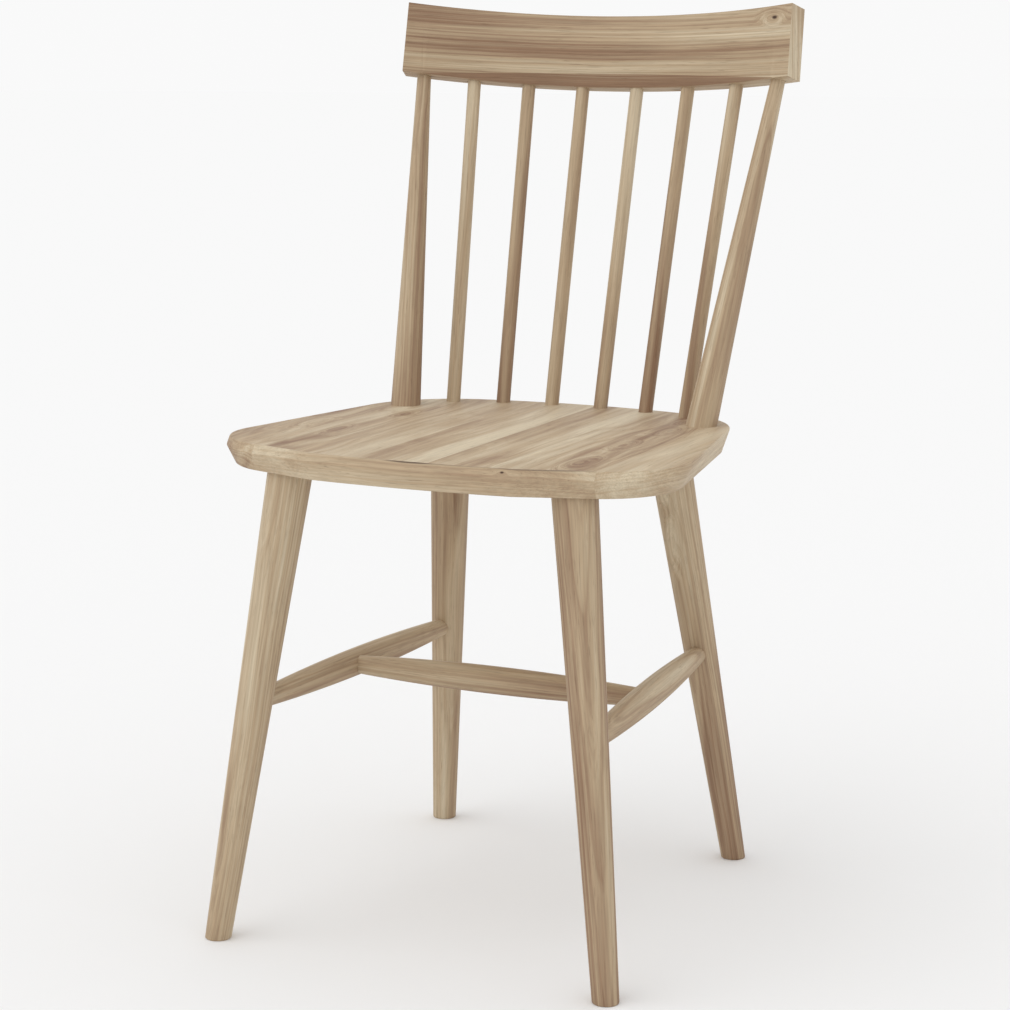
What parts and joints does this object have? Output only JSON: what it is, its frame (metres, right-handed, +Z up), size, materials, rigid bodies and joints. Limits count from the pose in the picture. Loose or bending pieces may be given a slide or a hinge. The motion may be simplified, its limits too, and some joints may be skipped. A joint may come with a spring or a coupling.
{
  "type": "dining chair",
  "caption": "Wooden dining chair with a glued-up plank seat, splayed turned legs with stretchers, raked spindles and a curved crest rail.",
  "frame": {"origin": "on the floor under the middle of the chair's bounding box", "axes": "+Z up; the chair faces -Y, so a sitter's back leans towards +Y; +X is to the right of a person who looks at the chair from the front"},
  "size_m": [0.443, 0.4968, 0.8514],
  "materials": {
    "oak_seat_light": "matt clear oiled oak",
    "oak_seat_brown": "matt clear oiled oak",
    "oak_legs": "matt clear oiled oak",
    "oak_stretchers": "matt clear oiled oak",
    "oak_back": "matt clear oiled oak",
    "oak_rail": "matt clear oiled oak"
  },
  "bodies": {
    "root": {"seat_stave_1": "oak_seat_brown", "seat_stave_2": "oak_seat_light", "seat_stave_3": "oak_seat_brown", "seat_stave_4": "oak_seat_light", "seat_stave_5": "oak_seat_brown", "seat_stave_6": "oak_seat_light", "seat_stave_7": "oak_seat_brown", "seat_stave_8": "oak_seat_light", "seat_front_strip": "oak_seat_light", "front_leg_left": "oak_legs", "front_leg_right": "oak_legs", "back_leg_left": "oak_legs", "back_leg_right": "oak_legs", "side_stretcher_left": "oak_stretchers", "side_stretcher_right": "oak_stretchers", "cross_stretcher": "oak_stretchers", "back_post_left": "oak_back", "back_post_right": "oak_back", "spindle_1": "oak_back", "spindle_2": "oak_back", "spindle_3": "oak_back", "spindle_4": "oak_back", "spindle_5": "oak_back", "spindle_6": "oak_back", "crest_rail": "oak_rail"}
  },
  "joints": []
}
